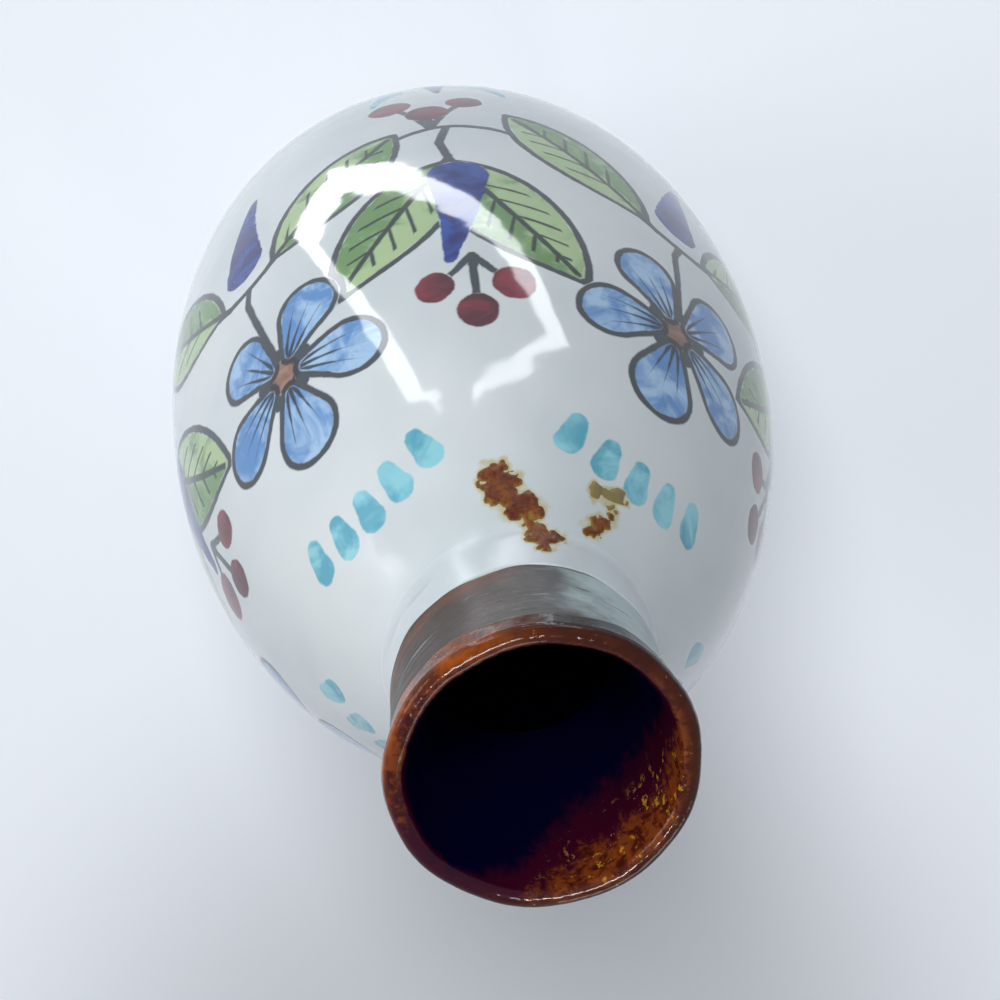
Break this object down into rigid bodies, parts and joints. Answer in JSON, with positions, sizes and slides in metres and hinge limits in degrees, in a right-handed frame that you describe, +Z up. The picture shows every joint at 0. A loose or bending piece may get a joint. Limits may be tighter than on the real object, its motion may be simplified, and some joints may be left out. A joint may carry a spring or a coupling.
{
  "type": "bud vase",
  "caption": "Small glazed stoneware bud vase with an egg-shaped body, a short waisted neck, an iron-brown rolled lip and a turned foot ring, for a stem or small posy.",
  "frame": {"origin": "centre of the foot ring's resting face", "axes": "+Z up along the turning axis towards the mouth; the decorated front faces -Y; the iron runs lie on the front of the neck's root"},
  "size_m": [0.066, 0.066, 0.127],
  "materials": {
    "bare_clay": "fine-grained matt fired stoneware",
    "slip": "fired slip in a scored joint",
    "white_glaze": "glossy grey-white glaze with painted underglaze colours",
    "iron_wash": "brushed grey-brown iron wash under a thin gloss",
    "iron_glaze": "iron-brown gloss breaking to orange on the lip",
    "dark_glaze": "near-black maroon gloss with ochre flecks",
    "iron_crust": "rust-brown crust with an olive halo"
  },
  "bodies": {
    "root": {"foot_ring": "bare_clay", "lower_bowl": "bare_clay", "belly_slip": "slip", "upper_dome": "bare_clay", "neck_slip": "slip", "neck_collar": "bare_clay", "lip_roll": "bare_clay", "body_glaze": "white_glaze", "iron_band": "iron_wash", "lip_glaze": "iron_glaze", "lining_glaze": "dark_glaze", "iron_runs": "iron_crust"}
  },
  "joints": []
}
